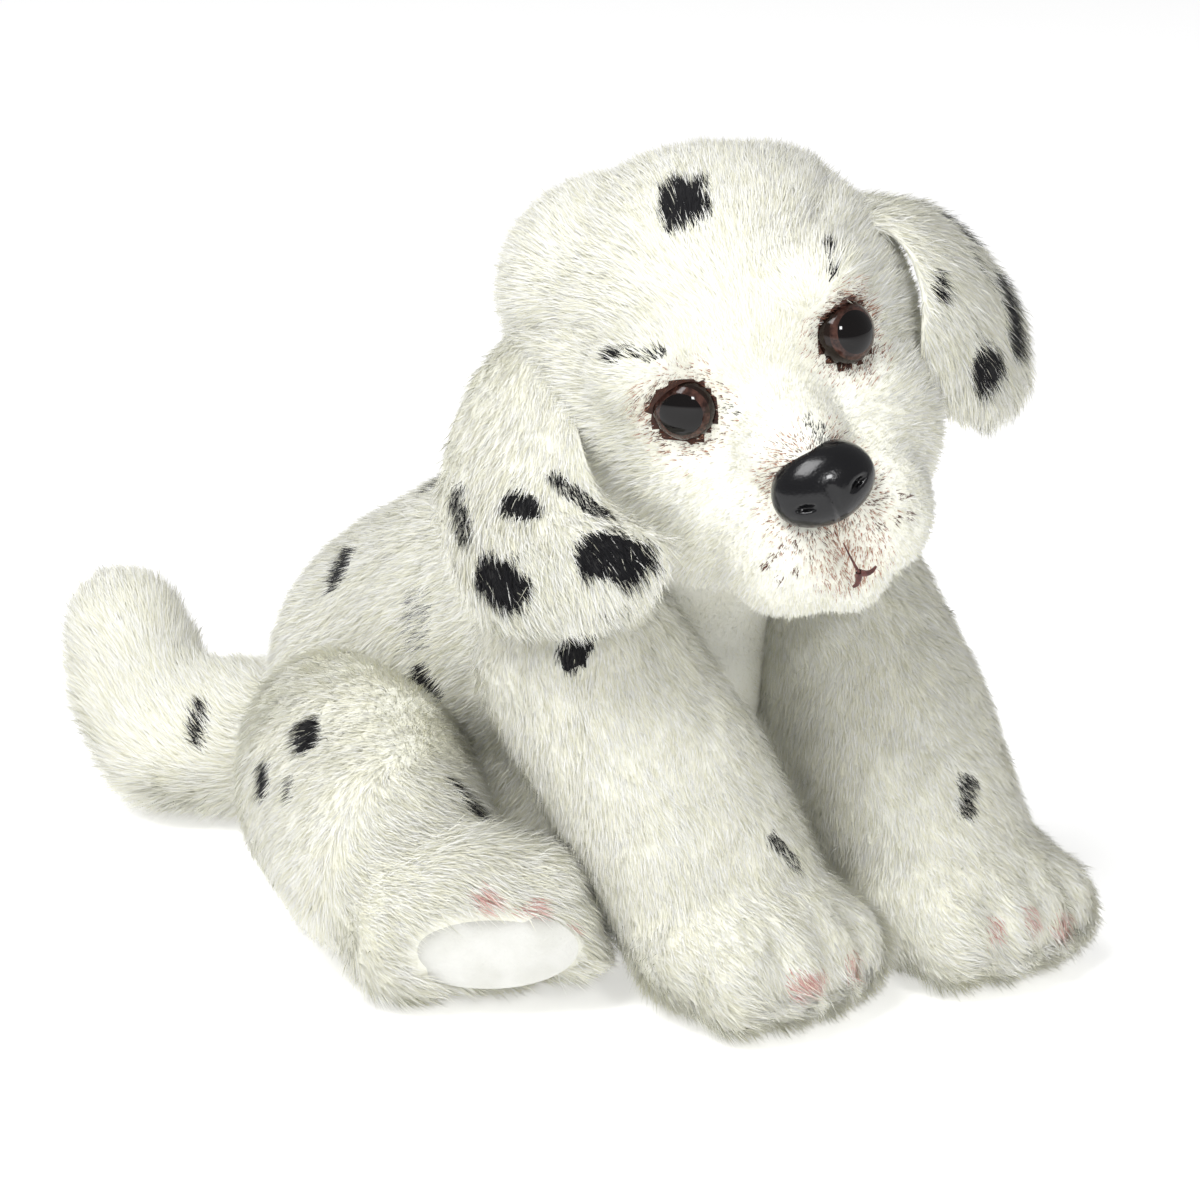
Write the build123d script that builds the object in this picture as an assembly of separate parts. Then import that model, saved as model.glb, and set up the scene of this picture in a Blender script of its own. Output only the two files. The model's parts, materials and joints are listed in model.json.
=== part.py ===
from build123d import *

import os
from math import cos, radians, sin

# A seated Dalmatian puppy soft toy, about 235 mm long and 210 mm tall, in millimetres.
# The origin is the middle of the flat seat. The dog faces -Y, +X is its left and +Z is up.
# Every fabric skin is a closed shell round its own stuffing, and each form below is built
# twice from one function: grow = 0 gives the outside, a negative grow the inside.

os.makedirs("parts", exist_ok=True)

# Fabric and fillings
SKIN = 2.4                # plush backing and pile root
SKIN_TO_FILL = 0.3        # room between a skin and its stuffing
BODY_GAP = 0.4            # room between two bodies that move on each other
FAR = 400.0               # larger than the whole toy, for cutting boxes

# Torso
RUMP_CENTRE = (0, 0, 46)
RUMP_RADIUS = 50.0
CHEST_CENTRE = (0, -68, 76)
CHEST_RADIUS = 43.0
SEAT_PANEL_RADIUS = 18.0
BIB_HALF_WIDTH = 13.0
BIB_BACK_Y = -98.0
POUCH_CENTRE = (3, -4, 16)
POUCH_RADIUS = 20.0
POUCH_THICKNESS = 18.0

# Neck: a ball at the pivot of the head, which sits in a round hollow under the skull
NECK_PIVOT = (-4, -94, 116)
NECK_RADIUS = 30.0
NECK_FILL_RADIUS = 10.5

# Head, turned to the dog's right and cocked to one side
HEAD_CENTRE = (-8, -112, 157)
HEAD_TURN = -30.0         # about Z
HEAD_COCK = -24.0         # about the head's own forward axis
SKULL_RADIUS = 50.0
HEAD_SWING_ROOM = 12.0    # what the torso leaves round the skull for turning and nodding
JAW_CENTRE = (0, -26, -28)
JAW_SPREAD = 7.0          # the jaw and the muzzle are each a round bar across the face
JAW_RADIUS = 31.0
MUZZLE_CENTRE = (0, -44, -33)
MUZZLE_SPREAD = 5.0
MUZZLE_RADIUS = 23.0
MUZZLE_SEAM_Y = -44.0     # the muzzle is its own piece in front of this plane
MUZZLE_SEAM_Z = -11.0     # and below this one

# Plastic face parts, on the head's own axes
EYE_DIAMETER = 15.0
EYE_HEIGHT = 5.6
EYE_SPREAD = 22.5
EYE_FRONT_Y = -44.0
EYE_SINK = 1.2
NOSE_SIZE = (25.0, 19.0)
NOSE_HEIGHT = 7.0
NOSE_CENTRE = (0, -64.5, -23)
NOSE_TILT = 25.0          # the nose looks this far above level
SHANK_DIAMETER = 4.0
SHANK_LENGTH = 9.0
SHANK_HOLE = 4.4
WASHER_DIAMETER = 12.0
WASHER_THICKNESS = 1.4
WASHER_DEPTH = 5.2        # from the seat of the eye or nose to the washer's face
FITTING_ROOM = 13.4       # what the stuffing leaves round a shank and its washer

# Mouth, three lines of dark thread under the nose
MOUTH_CENTRE = (0, -64.5, -42)
MOUTH_LINE_LENGTH = 7.0
MOUTH_LINE_RADIUS = 0.6

# Ears: half lengths along, across and through each flap, on the head's own axes
EAR_RADII = (39, 22, 5)
RIGHT_EAR_MIDDLE = (-66, -16, 1)
RIGHT_EAR_ALONG = (-0.23, -0.575, -0.785)
RIGHT_EAR_FACE = (-0.9, -0.25, 0.36)
LEFT_EAR_MIDDLE = (60, -6, -8)
LEFT_EAR_ALONG = (0.2, -0.24, -0.95)
LEFT_EAR_FACE = (0.95, -0.2, 0.25)

# Front legs: a shoulder ball, a straight tapering leg and a long paw
SHOULDER = (42, -100, 82)
SHOULDER_RADIUS = 25.5
WRIST_RADIUS = 23.0
PAW_RADIUS = 20.5
PAW_SPREAD = 5.5          # the paw is two round bars side by side, this far off its middle
PAW_REACH = 9.0
PAW_FLAT = 1.5            # how much of its round underside the paw loses to the floor
RIGHT_PAW = (37, -154)
LEFT_PAW = (38, -163)
WRIST_BACK = 13.0         # the wrist stands this far behind the middle of the paw
WRIST_HEIGHT = 25.0
LEG_SWING_ROOM = 26.5     # half width of the hollow that lets a front leg swing forward
SOLE_THICKNESS = 1.6
SOLE_RADII = (15, 17)

# Hind legs, folded on the floor with their soles turned out
HIP = (54, -8, 37)
HIP_RADIUS = 30.0
KNEE = (79, -70, 31)
KNEE_RADIUS = 29.0
FOOT_CENTRE = (82, -103, 22)
FOOT_RADIUS = 22.0
FOOT_REACH = 9.0          # the foot is a round bar with its ball ends this far out
FOOT_TOE_IN = 42.0        # the foot's long axis against X
FOOT_SOLE_RADII = (21, 11)
FOOT_SOLE_HEIGHT = 17.0

# Tail: it leaves the rump low on the right, lies on the floor and curls up
TAIL_ROOT = (-20, 40, 23)
TAIL_BEND = (-44, 66, 22)
TAIL_TIP = (-40, 88, 47)
TAIL_ROOT_RADIUS = 21.0
TAIL_BEND_RADIUS = 21.0
TAIL_TIP_RADIUS = 17.5
TAIL_WAG_ROOM = 16.0      # degrees that the socket opens out on every side


def save(shape, node):
    export_step(shape, f"parts/{node}.step")


def ball(centre, radius):
    return Pos(*centre) * Sphere(radius)


def tapered_limb(start, end, start_radius, end_radius):
    """A round limb between two balls that it is tangent to."""
    axis = Vector(*end) - Vector(*start)
    length = axis.length
    slope = (start_radius - end_radius) / length
    side = (1 - slope * slope) ** 0.5
    start = Vector(*start)
    with BuildPart() as limb:
        with BuildSketch(Plane.XZ):
            with BuildLine():
                low = (start_radius * side, start_radius * slope)
                high = (end_radius * side, length + end_radius * slope)
                low_arc = (
                    start_radius * cos(radians(-40)),
                    start_radius * sin(radians(-40)),
                )
                high_arc = (
                    end_radius * cos(radians(50)),
                    length + end_radius * sin(radians(50)),
                )
                ThreePointArc((0, -start_radius), low_arc, low)
                Line(low, high)
                ThreePointArc(high, high_arc, (0, length + end_radius))
                Line((0, length + end_radius), (0, -start_radius))
            make_face()
        revolve(axis=Axis.Z)
    return Plane(origin=start, z_dir=axis) * limb.part


def round_bar(centre, reach, radius):
    """A bar with ball ends, whose ball centres lie at centre plus and minus reach."""
    middle, reach = Vector(*centre), Vector(*reach)
    return tapered_limb(middle - reach, middle + reach, radius, radius)


def oval_slab(half_length, half_width, thickness):
    return extrude(Ellipse(half_length, half_width), thickness / 2, both=True)


def mirrored(point, side):
    return (point[0] * side, *point[1:])


def above_floor(shape, grow):
    """The part of a shape that is above its own flat bottom."""
    return shape & Pos(0, 0, FAR / 2 - grow) * Box(FAR, FAR, FAR)


def on_head():
    return Pos(*HEAD_CENTRE) * Rot(0, 0, HEAD_TURN) * Rot(0, HEAD_COCK, 0)


# ---- Front legs

def right_wrist():
    return (-RIGHT_PAW[0], RIGHT_PAW[1] + WRIST_BACK, WRIST_HEIGHT)


def front_leg_form(side, grow=0.0):
    paw_x, paw_y = RIGHT_PAW if side < 0 else LEFT_PAW
    paw = (paw_x * side, paw_y, PAW_RADIUS - PAW_FLAT)
    wrist = (paw[0], paw_y + WRIST_BACK, WRIST_HEIGHT)
    limb = tapered_limb(
        mirrored(SHOULDER, side), wrist, SHOULDER_RADIUS + grow, WRIST_RADIUS + grow
    )
    for across in (-PAW_SPREAD, PAW_SPREAD):
        middle = (paw[0] + across, paw[1], paw[2])
        limb += round_bar(middle, (0, PAW_REACH, 0), PAW_RADIUS + grow)
    return limb


def front_sole(side):
    paw_x, paw_y = RIGHT_PAW if side < 0 else LEFT_PAW
    return Pos(paw_x * side, paw_y, 0) * oval_slab(*SOLE_RADII, 2 * SOLE_THICKNESS)


# ---- Hind legs

def hind_leg_form(side, grow=0.0):
    thigh = tapered_limb(
        mirrored(HIP, side), mirrored(KNEE, side), HIP_RADIUS + grow, KNEE_RADIUS + grow
    )
    turn = radians(FOOT_TOE_IN) * side
    reach = (FOOT_REACH * cos(turn), FOOT_REACH * sin(turn), 0)
    return thigh + round_bar(mirrored(FOOT_CENTRE, side), reach, FOOT_RADIUS + grow)


def hind_sole(side):
    """A flat oval pad let into the outer side of the foot."""
    pad = Rot(90, 0, 0) * oval_slab(*FOOT_SOLE_RADII, FOOT_RADIUS)
    pad = Pos(0, -FOOT_RADIUS, FOOT_SOLE_HEIGHT - FOOT_CENTRE[2]) * pad
    return Pos(*mirrored(FOOT_CENTRE, side)) * Rot(0, 0, FOOT_TOE_IN * side) * pad


# ---- Tail

def tail_form(grow=0.0):
    root = tapered_limb(
        TAIL_ROOT, TAIL_BEND, TAIL_ROOT_RADIUS + grow, TAIL_BEND_RADIUS + grow
    )
    tip = tapered_limb(
        TAIL_BEND, TAIL_TIP, TAIL_BEND_RADIUS + grow, TAIL_TIP_RADIUS + grow
    )
    return above_floor(root + tip, grow)


# ---- Torso

def front_leg_hollow(side, grow):
    """The space a front leg needs, at rest and swung forward, as a slab beside the keel."""
    half = LEG_SWING_ROOM - grow
    reach = FAR / 2
    x, y, z = mirrored(SHOULDER, side)
    down = (Vector(*right_wrist()) - Vector(-SHOULDER[0], y, z)).normalized()
    heel = (y - half * down.Z, z + half * down.Y)
    heel_end = (heel[0] + reach * down.Y, heel[1] + reach * down.Z)
    front = y - reach
    with BuildSketch() as outline:
        with BuildLine():
            ThreePointArc(heel, (y + half, z), (y, z + half))
            Polyline((y, z + half), (front, z + half), (front, heel_end[1]), heel_end, heel)
        make_face()
    facing = Plane(origin=(side * (abs(x) - half), 0, 0), x_dir=(0, 1, 0), z_dir=(1, 0, 0))
    return extrude(facing * outline.sketch, side * reach)


def tail_hollow(grow):
    """A socket round the tail's root that opens out, so that the tail can wag."""
    radius = TAIL_ROOT_RADIUS + BODY_GAP - grow
    length = (Vector(*TAIL_BEND) - Vector(*TAIL_ROOT)).length
    flare = length * sin(radians(TAIL_WAG_ROOM))
    return tapered_limb(TAIL_ROOT, TAIL_BEND, radius, radius + flare)


def torso_form(grow=0.0):
    trunk = tapered_limb(
        RUMP_CENTRE, CHEST_CENTRE, RUMP_RADIUS + grow, CHEST_RADIUS + grow
    )
    trunk -= ball(HEAD_CENTRE, SKULL_RADIUS + HEAD_SWING_ROOM - grow)
    trunk += ball(NECK_PIVOT, NECK_RADIUS + grow)
    for side in (-1, 1):
        trunk -= front_leg_hollow(side, grow)
        trunk -= hind_leg_form(side, BODY_GAP - grow)
    trunk -= tail_hollow(grow)
    return above_floor(trunk, grow)


def build_torso():
    skin = torso_form() - torso_form(-SKIN)
    pouch = Pos(*POUCH_CENTRE) * Cylinder(POUCH_RADIUS, POUCH_THICKNESS)
    pouch = fillet(pouch.edges(), POUCH_THICKNESS / 3)
    pouch_hollow = Pos(*POUCH_CENTRE) * Cylinder(
        POUCH_RADIUS + SKIN_TO_FILL, POUCH_THICKNESS + 2 * SKIN_TO_FILL
    )
    neck_hollow = ball(NECK_PIVOT, NECK_FILL_RADIUS + BODY_GAP)
    fill = torso_form(-SKIN - SKIN_TO_FILL) - neck_hollow
    fill -= pouch_hollow
    seat_panel = Pos(0, 0, SKIN / 2) * Cylinder(SEAT_PANEL_RADIUS, SKIN)
    bib_slab = Pos(0, BIB_BACK_Y - FAR / 2, 0) * Box(2 * BIB_HALF_WIDTH, FAR, FAR)
    bib_slab -= ball(NECK_PIVOT, NECK_RADIUS + BODY_GAP)
    right_half = Pos(-FAR / 2, 0, 0) * Box(FAR, FAR, FAR)
    upper = skin - seat_panel
    save(seat_panel, "seat_panel")
    save(upper & bib_slab, "chest_bib")
    save((upper - bib_slab) & right_half, "torso_right_panel")
    save((upper - bib_slab) - right_half, "torso_left_panel")
    save(fill, "torso_stuffing")
    save(pouch, "pellet_pouch")
    save(ball(NECK_PIVOT, NECK_FILL_RADIUS), "neck_stuffing")


# ---- Head

def head_form(grow=0.0):
    shape = Sphere(SKULL_RADIUS + grow)
    shape += round_bar(JAW_CENTRE, (JAW_SPREAD, 0, 0), JAW_RADIUS + grow)
    shape += round_bar(MUZZLE_CENTRE, (MUZZLE_SPREAD, 0, 0), MUZZLE_RADIUS + grow)
    return on_head() * shape - ball(NECK_PIVOT, NECK_RADIUS + BODY_GAP - grow)


def eye_seat(side):
    """A frame on the skull, with Z out of the face, where an eye is seated."""
    point = Vector(side * EYE_SPREAD, EYE_FRONT_Y, 0)
    out = point.normalized()
    return Plane(origin=out * (SKULL_RADIUS - EYE_SINK), x_dir=(0, 0, 1), z_dir=out)


def nose_seat():
    out = (0, -cos(radians(NOSE_TILT)), sin(radians(NOSE_TILT)))
    return Plane(origin=NOSE_CENTRE, x_dir=(1, 0, 0), z_dir=out)


def dome(width, depth, height):
    """A half ellipsoid that stands on its flat side."""
    whole = scale(Sphere(1), by=(width / 2, depth / 2, height))
    return whole & Pos(0, 0, FAR / 2) * Box(FAR, FAR, FAR)


def shank():
    return Pos(0, 0, -SHANK_LENGTH / 2) * Cylinder(SHANK_DIAMETER / 2, SHANK_LENGTH)


def washer():
    """A lock washer that grips the shank behind the fabric."""
    ring = Cylinder(WASHER_DIAMETER / 2, WASHER_THICKNESS)
    ring -= Cylinder(SHANK_DIAMETER / 2, WASHER_THICKNESS)
    return Pos(0, 0, -WASHER_DEPTH - WASHER_THICKNESS / 2) * ring


def seat_pocket(width, depth):
    """What a skin gives up to a seated part: a shallow pocket and the shank's hole."""
    pocket = extrude(Ellipse(width / 2, depth / 2), SKULL_RADIUS)
    return pocket + Cylinder(SHANK_HOLE / 2, 2 * SHANK_LENGTH)


def fitting_room():
    depth = WASHER_DEPTH + 2 * WASHER_THICKNESS + SHANK_LENGTH
    return Pos(0, 0, -depth / 2) * Cylinder(FITTING_ROOM / 2, depth)


def mouth_stitches():
    """Three straight stitches that meet under the nose."""
    stitches = Part()
    for angle in (0, 115, -115):
        line = Cylinder(MOUTH_LINE_RADIUS, MOUTH_LINE_LENGTH)
        line = Rot(0, angle, 0) * Pos(0, 0, MOUTH_LINE_LENGTH / 2) * line
        stitches += line
    return Pos(*MOUTH_CENTRE) * Rot(-12, 0, 0) * stitches


def build_head():
    head = on_head()
    outer = head_form()
    fill = head_form(-SKIN - SKIN_TO_FILL)
    skin = outer - head_form(-SKIN)
    seats = {"right_eye": eye_seat(-1), "left_eye": eye_seat(1), "nose": nose_seat()}
    for name, seat in seats.items():
        width, depth = NOSE_SIZE if name == "nose" else (EYE_DIAMETER, EYE_DIAMETER)
        height = NOSE_HEIGHT if name == "nose" else EYE_HEIGHT
        place = head * seat.location
        save(place * (dome(width, depth, height) + shank()), name)
        save(place * washer(), f"{name}_washer")
        skin -= place * seat_pocket(width + BODY_GAP, depth + BODY_GAP)
        skin -= place * washer()
        fill -= place * fitting_room()
    muzzle_box = Pos(0, MUZZLE_SEAM_Y - FAR / 2, MUZZLE_SEAM_Z - FAR / 2)
    muzzle_box = head * muzzle_box * Box(FAR, FAR, FAR)
    stitches = head * mouth_stitches()
    save(stitches, "mouth_stitches")
    skin -= stitches
    fill -= stitches
    save(skin & muzzle_box, "muzzle")
    save(skin - muzzle_box, "head_skin")
    save(fill, "head_stuffing")


def build_ear(side_name, middle, along, face):
    """A flap of two layers: long pile outside and a short lining towards the head."""
    frame = on_head() * Plane(origin=middle, x_dir=along, z_dir=face).location
    flap = scale(Sphere(1), by=EAR_RADII)
    outside = Pos(0, 0, FAR / 2) * Box(FAR, FAR, FAR)
    save(frame * (flap & outside), f"{side_name}_ear")
    save(frame * (flap - outside), f"{side_name}_ear_lining")


def build_limb(name, form, pad):
    """A limb's skin, stuffing and sole pad."""
    outer = above_floor(form(0), 0)
    inner = above_floor(form(-SKIN), -SKIN)
    fill = above_floor(form(-SKIN - SKIN_TO_FILL), -SKIN - SKIN_TO_FILL)
    sole = outer & pad
    sole -= fill
    save((outer - inner) - sole, f"{name}_skin")
    save(fill, f"{name}_stuffing")
    save(sole, f"{name}_sole")


def build_tail():
    save(tail_form() - tail_form(-SKIN), "tail_skin")
    save(tail_form(-SKIN - SKIN_TO_FILL), "tail_stuffing")


build_torso()
build_head()
build_ear("right", RIGHT_EAR_MIDDLE, RIGHT_EAR_ALONG, RIGHT_EAR_FACE)
build_ear("left", LEFT_EAR_MIDDLE, LEFT_EAR_ALONG, LEFT_EAR_FACE)
for side, side_name in ((-1, "right"), (1, "left")):
    build_limb(
        f"{side_name}_front_leg",
        lambda grow, side=side: front_leg_form(side, grow),
        front_sole(side),
    )
    build_limb(
        f"{side_name}_hind_leg",
        lambda grow, side=side: hind_leg_form(side, grow),
        hind_sole(side),
    )
build_tail()
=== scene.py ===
import json
import math

import bmesh
import bpy
import numpy as np
from mathutils import Matrix, Vector


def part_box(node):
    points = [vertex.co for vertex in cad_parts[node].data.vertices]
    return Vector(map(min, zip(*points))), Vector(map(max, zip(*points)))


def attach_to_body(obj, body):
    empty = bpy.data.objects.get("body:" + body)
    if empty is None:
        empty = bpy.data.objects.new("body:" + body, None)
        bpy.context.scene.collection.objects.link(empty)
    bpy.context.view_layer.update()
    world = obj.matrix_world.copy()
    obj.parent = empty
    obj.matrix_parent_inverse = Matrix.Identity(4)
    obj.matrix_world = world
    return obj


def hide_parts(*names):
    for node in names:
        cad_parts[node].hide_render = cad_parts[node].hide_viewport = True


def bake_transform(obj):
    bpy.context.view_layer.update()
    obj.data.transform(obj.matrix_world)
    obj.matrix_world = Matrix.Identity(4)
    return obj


# A seated Dalmatian puppy soft toy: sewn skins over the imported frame, covered with a pile
# of real mesh strands. Lengths below are in millimetres, in the row frame unless a comment
# says otherwise, and are scaled to metres where meshes are made.

MM = 0.001
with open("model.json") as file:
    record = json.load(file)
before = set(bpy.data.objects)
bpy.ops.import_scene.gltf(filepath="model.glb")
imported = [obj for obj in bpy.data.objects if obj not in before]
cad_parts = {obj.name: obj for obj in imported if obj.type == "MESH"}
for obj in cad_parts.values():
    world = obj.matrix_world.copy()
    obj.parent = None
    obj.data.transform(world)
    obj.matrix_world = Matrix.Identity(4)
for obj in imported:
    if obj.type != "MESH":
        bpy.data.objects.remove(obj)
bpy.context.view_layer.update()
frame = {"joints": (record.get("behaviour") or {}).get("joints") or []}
JOINTS = {joint["name"]: joint for joint in frame["joints"]}

# Camera, at the photograph's viewing angle
CAMERA_AZIMUTH = -42.0
CAMERA_ELEVATION = 16.0
CAMERA_DISTANCE = 1100.0
CAMERA_TARGET = (0, -60, 80)
FRAME_WIDTH = 310.0       # how much of the target's plane the picture spans

# Light
SKY_STRENGTH = 0.38
BACKDROP_EXTRA = 0.75     # added where the camera sees the backdrop itself
KEY_PLACE, KEY_WATTS, KEY_SIZE = (-1400, -250, 2100), 54, 1300
WINDOW_PLACE, WINDOW_WATTS, WINDOW_SIZE = (-700, -1500, 900), 7, 240

# Pile
STRAND_WIDTH = 0.2
ROOT_SINK = 0.5           # strands start this far inside their skin
SMALLEST_BACKED_SPOT = 3.0
STRANDS_IN_A_PIECE = 66000
CREAM_SHARE = 0.5         # share of strands below white, the shaded ones among them
SHADE_SHARE = 0.12        # share of strands that are darker than cream
FLOOR_CLEARANCE = 0.8     # how far above the floor a limb's skin stays
LOWEST_ROOT = 1.6         # no strand of a limb starts lower than this
TORSO_CLEARANCE = 0.2
TORSO_LOWEST_ROOT = 2.0

# Hind sole pad, out from the middle of the sole
SOLE_CROWN = 18.2
SOLE_FALL = 3.4           # how far its edge lies behind its crown

# Eyes
EYE_RADIUS, EYE_DOME = 7.6, 5.4
PUPIL_RADIUS, IRIS_RADIUS = 5.5, 6.7


# ---- Frame helpers

def joint_at(name):
    return np.array(JOINTS[name]["pos_m"]) / MM


def box_mm(node):
    low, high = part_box(node)
    return np.array(low) / MM, np.array(high) / MM


SKULL_RADIUS = 50.0
HEAD_TURN = math.radians(-30)
HEAD_COCK = math.radians(-24)
# The skull is a ball that touches the high sides of its skin's box
HEAD_CENTRE = box_mm("head_skin")[1] - SKULL_RADIUS
HEAD_TO_ROW = Matrix.Rotation(HEAD_TURN, 4, "Z") @ Matrix.Rotation(HEAD_COCK, 4, "Y")
HEAD_AXES = np.array(HEAD_TO_ROW.to_3x3())


def on_head(point):
    """A point on the head's own axes (X left, -Y forward, Z to the crown) in the row frame."""
    return HEAD_CENTRE + HEAD_AXES @ np.array(point, float)


def head_way(direction):
    return HEAD_AXES @ np.array(direction, float)


# ---- Small maths

def unit(vectors):
    vectors = np.asarray(vectors, float)
    return vectors / np.maximum(np.linalg.norm(vectors, axis=-1, keepdims=True), 1e-9)


def smoothstep(low, high, values):
    share = np.clip((values - low) / (high - low), 0, 1)
    return share * share * (3 - 2 * share)


def ripple(points, scale, seed):
    """A smooth wandering value from -1 to 1 over space, with waves about scale across."""
    draw = np.random.default_rng(seed)
    total = np.zeros(len(points))
    for _ in range(5):
        way = unit(draw.normal(size=3)) * 2 * math.pi / (scale * draw.uniform(0.7, 1.5))
        total += np.sin(points @ way + draw.uniform(0, 2 * math.pi))
    return total / 3


def distance_to_line(points, start, end):
    start, end = np.array(start, float), np.array(end, float)
    span = end - start
    share = np.clip((points - start) @ span / max(span @ span, 1e-9), 0, 1)
    return np.linalg.norm(points - start - share[:, None] * span, axis=1)


# ---- Materials

def material(name, colour, roughness, **settings):
    """A Principled material whose plain numbers sit on the shader's own sockets."""
    made = bpy.data.materials.new(name)
    made.use_nodes = True
    shader = made.node_tree.nodes["Principled BSDF"]
    shader.inputs["Base Color"].default_value = (*colour, 1)
    shader.inputs["Roughness"].default_value = roughness
    for socket, value in settings.items():
        shader.inputs[socket.replace("_", " ")].default_value = value
    return made


def add_bump(made, scale, strength, distance, detail=4.0):
    nodes, links = made.node_tree.nodes, made.node_tree.links
    place = nodes.new("ShaderNodeTexCoord")
    grain = nodes.new("ShaderNodeTexNoise")
    grain.inputs["Scale"].default_value = scale
    grain.inputs["Detail"].default_value = detail
    bump = nodes.new("ShaderNodeBump")
    bump.inputs["Strength"].default_value = strength
    bump.inputs["Distance"].default_value = distance
    links.new(place.outputs["Object"], grain.inputs["Vector"])
    links.new(grain.outputs["Fac"], bump.inputs["Height"])
    links.new(bump.outputs["Normal"], nodes["Principled BSDF"].inputs["Normal"])
    return made


def add_mottle(made, dark, light, scale):
    """Soft colour variation between two tones."""
    nodes, links = made.node_tree.nodes, made.node_tree.links
    place = nodes.new("ShaderNodeTexCoord")
    cloud = nodes.new("ShaderNodeTexNoise")
    cloud.inputs["Scale"].default_value = scale
    ramp = nodes.new("ShaderNodeValToRGB")
    ramp.color_ramp.elements[0].position = 0.35
    ramp.color_ramp.elements[0].color = (*dark, 1)
    ramp.color_ramp.elements[1].position = 0.65
    ramp.color_ramp.elements[1].color = (*light, 1)
    links.new(place.outputs["Object"], cloud.inputs["Vector"])
    links.new(cloud.outputs["Fac"], ramp.inputs["Fac"])
    links.new(ramp.outputs["Color"], nodes["Principled BSDF"].inputs["Base Color"])
    return made


PILE_LOOK = {"Sheen_Weight": 0.1, "Sheen_Roughness": 0.5, "Specular_IOR_Level": 0.1}
PILE = {
    "white": material("pile_white", (0.92, 0.92, 0.88), 0.8, **PILE_LOOK),
    "cream": material("pile_cream", (0.88, 0.87, 0.74), 0.85, **PILE_LOOK),
    "shade": material("pile_shade", (0.78, 0.77, 0.62), 0.9, **PILE_LOOK),
    "black": material("pile_black", (0.012, 0.012, 0.014), 0.6, **PILE_LOOK),
    "grey": material("pile_grey", (0.22, 0.22, 0.23), 0.7, **PILE_LOOK),
    "pink": material("pile_pink", (0.72, 0.42, 0.38), 0.8, **PILE_LOOK),
    "brown": material("pile_brown", (0.10, 0.032, 0.018), 0.7, **PILE_LOOK),
    "rust": material("pile_rust", (0.42, 0.20, 0.13), 0.75, **PILE_LOOK),
}
BACKING = add_bump(
    add_mottle(
        material("plush_backing", (0.94, 0.94, 0.88), 0.9),
        (0.82, 0.81, 0.70), (0.88, 0.88, 0.80), 60,
    ),
    900, 0.6, 0.0006,
)
BACKING_DARK = add_bump(
    add_mottle(
        material("plush_backing_dark", (0.02, 0.02, 0.02), 0.9, Sheen_Weight=0.2),
        (0.01, 0.01, 0.01), (0.05, 0.05, 0.05), 200,
    ),
    900, 0.6, 0.0006,
)
BACKING_BROWN = add_bump(
    add_mottle(
        material("plush_backing_brown", (0.05, 0.02, 0.012), 0.8),
        (0.03, 0.012, 0.008), (0.07, 0.03, 0.02), 300,
    ),
    900, 0.6, 0.0006,
)
# White velour for the hind sole pads. Its mottle tones (0.58 to 0.66) are grey: painted shade
# standing in for the self-shadowing of a pile.
SHADED_VELOUR = add_bump(
    add_mottle(
        material("short_velour", (0.88, 0.88, 0.85), 0.85, Sheen_Weight=0.2),
        (0.58, 0.58, 0.54), (0.66, 0.66, 0.63), 90,
    ),
    1500, 0.5, 0.0004,
)
EYE_POLISH = {"Specular_IOR_Level": 0.15, "Coat_Weight": 0.35, "Coat_Roughness": 0.02}
EYE_BLACK = material("eye_black", (0.003, 0.002, 0.002), 0.05, **EYE_POLISH)
EYE_IRIS = add_mottle(
    material("eye_iris", (0.04, 0.018, 0.012), 0.12, **EYE_POLISH),
    (0.022, 0.010, 0.008), (0.075, 0.034, 0.026), 700,
)
EYE_RIM = material("eye_rim", (0.012, 0.006, 0.004), 0.1, **EYE_POLISH)
NOSE_BLACK = add_bump(
    material("nose_black", (0.004, 0.004, 0.005), 0.2, Specular_IOR_Level=0.25,
             Coat_Weight=0.3, Coat_Roughness=0.06),
    1400, 0.25, 0.0003,
)
THREAD = add_bump(
    add_mottle(
        material("mouth_thread", (0.16, 0.035, 0.025), 0.7, Sheen_Weight=0.2),
        (0.05, 0.012, 0.01), (0.13, 0.035, 0.028), 800,
    ),
    2500, 0.6, 0.0003,
)
FLOOR = add_bump(
    material("pale_floor", (0.95, 0.95, 0.95), 0.7, Emission_Color=(1, 1, 1, 1),
             Emission_Strength=0.42),
    30, 0.02, 0.001,
)


# ---- Sewn skins: round lumps melted into one soft form

def show(name, mesh, *materials):
    piece = bpy.data.objects.new(name, mesh)
    bpy.context.scene.collection.objects.link(piece)
    for made in materials:
        mesh.materials.append(made)
    return piece


def lump(mesh, centre, radii, turn=None):
    """An ellipsoid; turn is a 3x3 matrix for its axes."""
    turn = Matrix.Identity(3) if turn is None else Matrix(turn)
    size = Matrix.Diagonal((*[radius * MM for radius in radii], 1))
    place = Matrix.Translation(Vector(centre) * MM) @ turn.to_4x4() @ size
    bmesh.ops.create_icosphere(mesh, subdivisions=4, radius=1, matrix=place)


def limb(mesh, points, radii, steps=10):
    """A round limb through points, each with its own radius."""
    for index in range(len(points) - 1):
        start, end = np.array(points[index], float), np.array(points[index + 1], float)
        for step in range(steps + 1):
            share = step / steps
            radius = radii[index] * (1 - share) + radii[index + 1] * share
            lump(mesh, start + (end - start) * share, (radius,) * 3)


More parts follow.
